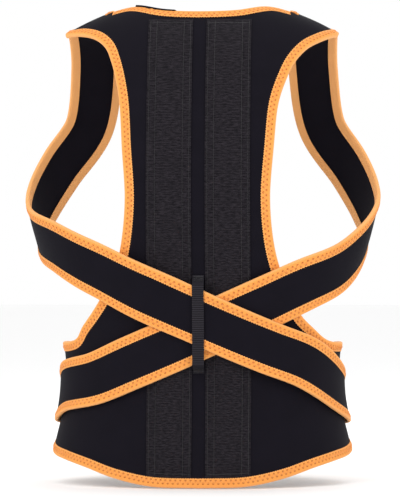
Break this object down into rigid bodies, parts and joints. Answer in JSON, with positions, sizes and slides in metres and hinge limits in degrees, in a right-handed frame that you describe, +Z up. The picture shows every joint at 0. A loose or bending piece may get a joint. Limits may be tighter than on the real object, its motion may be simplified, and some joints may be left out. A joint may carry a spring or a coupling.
{
  "type": "back brace",
  "caption": "Neoprene posture and waist back brace with bound edges, crossed shoulder straps through a keeper, stay pockets and an opening hook-and-loop belt.",
  "frame": {"origin": "middle of the wearer's waist, inside the closed belt", "axes": "+X to the wearer's right, +Y the way the wearer faces, +Z up along the spine"},
  "size_m": [0.3815, 0.2526, 0.5059],
  "materials": {
    "neoprene": "black nylon jersey laminated on neoprene foam, matt with a faint sheen",
    "binding_tape": "orange folded elastic tape, zigzag stitched",
    "pocket_elastic": "dark grey ribbed woven elastic",
    "keeper_elastic": "dark grey flat woven elastic",
    "stay_steel": "flat spring steel strip",
    "stay_tip": "dipped end cap",
    "hook_tape": "black moulded hook tape",
    "loop_pile": "black brushed loop pile"
  },
  "bodies": {
    "back": {"back_panel": "neoprene", "neck_binding": "binding_tape", "left_armhole_binding": "binding_tape", "right_armhole_binding": "binding_tape", "hem_binding": "binding_tape", "left_pocket": "pocket_elastic", "right_pocket": "pocket_elastic", "left_stay": "stay_steel", "right_stay": "stay_steel", "left_stay_top_tip": "stay_tip", "left_stay_bottom_tip": "stay_tip", "right_stay_top_tip": "stay_tip", "right_stay_bottom_tip": "stay_tip", "keeper_loop": "keeper_elastic", "left_strap": "neoprene", "left_strap_inner_binding": "binding_tape", "left_strap_outer_binding": "binding_tape", "right_strap": "neoprene", "right_strap_inner_binding": "binding_tape", "right_strap_outer_binding": "binding_tape"},
    "right_wing": {"right_wing": "neoprene", "right_wing_binding": "binding_tape", "right_strap_side": "neoprene", "right_strap_side_inner_binding": "binding_tape", "right_strap_side_outer_binding": "binding_tape", "hook_patch": "hook_tape"},
    "left_wing": {"left_wing": "neoprene", "left_wing_binding": "binding_tape", "left_strap_side": "neoprene", "left_strap_side_inner_binding": "binding_tape", "left_strap_side_outer_binding": "binding_tape", "loop_patch": "loop_pile"},
    "right_tail": {"right_tail": "neoprene", "right_tail_inner_binding": "binding_tape", "right_tail_outer_binding": "binding_tape", "right_tail_end_binding": "binding_tape", "right_hook_tab": "hook_tape"},
    "left_tail": {"left_tail": "neoprene", "left_tail_inner_binding": "binding_tape", "left_tail_outer_binding": "binding_tape", "left_tail_end_binding": "binding_tape", "left_hook_tab": "hook_tape"}
  },
  "joints": [
    {"name": "right_wing_open", "type": "hinge", "parent": "back", "child": "right_wing", "pos_m": [0.163, -0.0005, 0], "axis": [0, 0, -1], "range_deg": [0, 90]},
    {"name": "left_wing_open", "type": "hinge", "parent": "back", "child": "left_wing", "pos_m": [-0.163, -0.0005, 0], "axis": [0, 0, 1], "range_deg": [0, 54]},
    {"name": "right_tail_peel", "type": "hinge", "parent": "right_wing", "child": "right_tail", "pos_m": [0.14673, 0.0364, 0.012], "axis": [0.0969, 0.0388, -0.9945], "range_deg": [0, 100]},
    {"name": "left_tail_peel", "type": "hinge", "parent": "left_wing", "child": "left_tail", "pos_m": [-0.14673, 0.0364, 0.012], "axis": [0.0969, -0.0388, 0.9945], "range_deg": [0, 100]}
  ],
  "couplings": [
    {"joint": "left_wing_open", "follows": "right_wing_open", "ratio": 0.6}
  ]
}
